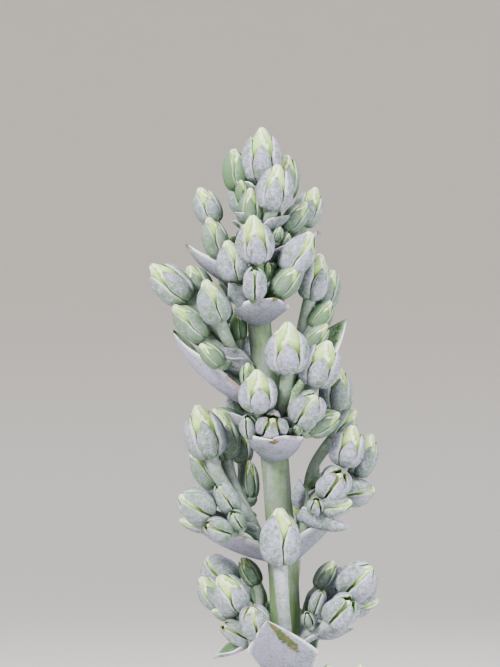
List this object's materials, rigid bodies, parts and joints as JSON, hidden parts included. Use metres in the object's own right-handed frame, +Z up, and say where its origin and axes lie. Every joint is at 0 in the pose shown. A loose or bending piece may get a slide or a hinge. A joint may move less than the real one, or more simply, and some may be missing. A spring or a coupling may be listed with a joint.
{
  "type": "potted paddle plant in flower",
  "caption": "Succulent with broad grey-green paddle leaves in crosswise pairs and a tall white-dusted flower spike in bud, in a plain round clay pot.",
  "frame": {"origin": "middle of the pot's underside, on the surface it stands on", "axes": "+Z up along the stem, -Y the front of the spike as pictured, +X its right"},
  "size_m": [0.209, 0.1912, 0.507],
  "materials": {
    "clay": "matt, unglazed, faintly powdery",
    "soil": "crumbly, dry",
    "stem": "matt, waxy white bloom over green",
    "leaf": "matt, waxy white bloom, thin red margin",
    "bract": "matt, mealy white bloom",
    "buds": "matt, mealy white bloom, pale yellow-green tips"
  },
  "bodies": {
    "root": {"bract_a_back": "bract", "bract_a_front": "bract", "bract_b_left": "bract", "bract_b_right": "bract", "bract_c_back": "bract", "bract_c_front": "bract", "bract_d_left": "bract", "bract_d_right": "bract", "bract_e_back": "bract", "bract_e_front": "bract", "bract_f_left": "bract", "bract_f_right": "bract", "bract_y_back": "bract", "bract_y_front": "bract", "bract_z_left": "bract", "bract_z_right": "bract", "leaf_1_back": "leaf", "leaf_1_front": "leaf", "leaf_2_left": "leaf", "leaf_2_right": "leaf", "leaf_3_back": "leaf", "leaf_3_front": "leaf", "leaf_4_left": "leaf", "leaf_4_right": "leaf", "leaf_5_back": "leaf", "leaf_5_front": "leaf", "leaf_6_left": "leaf", "leaf_6_right": "leaf", "leaf_7_back": "leaf", "leaf_7_front": "leaf", "leaf_8_left": "leaf", "leaf_8_right": "leaf", "pot": "clay", "soil": "soil", "spray_a_back": "buds", "spray_a_front": "buds", "spray_b_left": "buds", "spray_b_right": "buds", "spray_c_back": "buds", "spray_c_front": "buds", "spray_crown": "buds", "spray_d_left": "buds", "spray_d_right": "buds", "spray_e_back": "buds", "spray_e_front": "buds", "spray_f_left": "buds", "spray_f_right": "buds", "spray_g_back": "buds", "spray_g_front": "buds", "spray_y_back": "buds", "spray_y_front": "buds", "spray_z_left": "buds", "spray_z_right": "buds", "stem": "stem"}
  },
  "joints": []
}
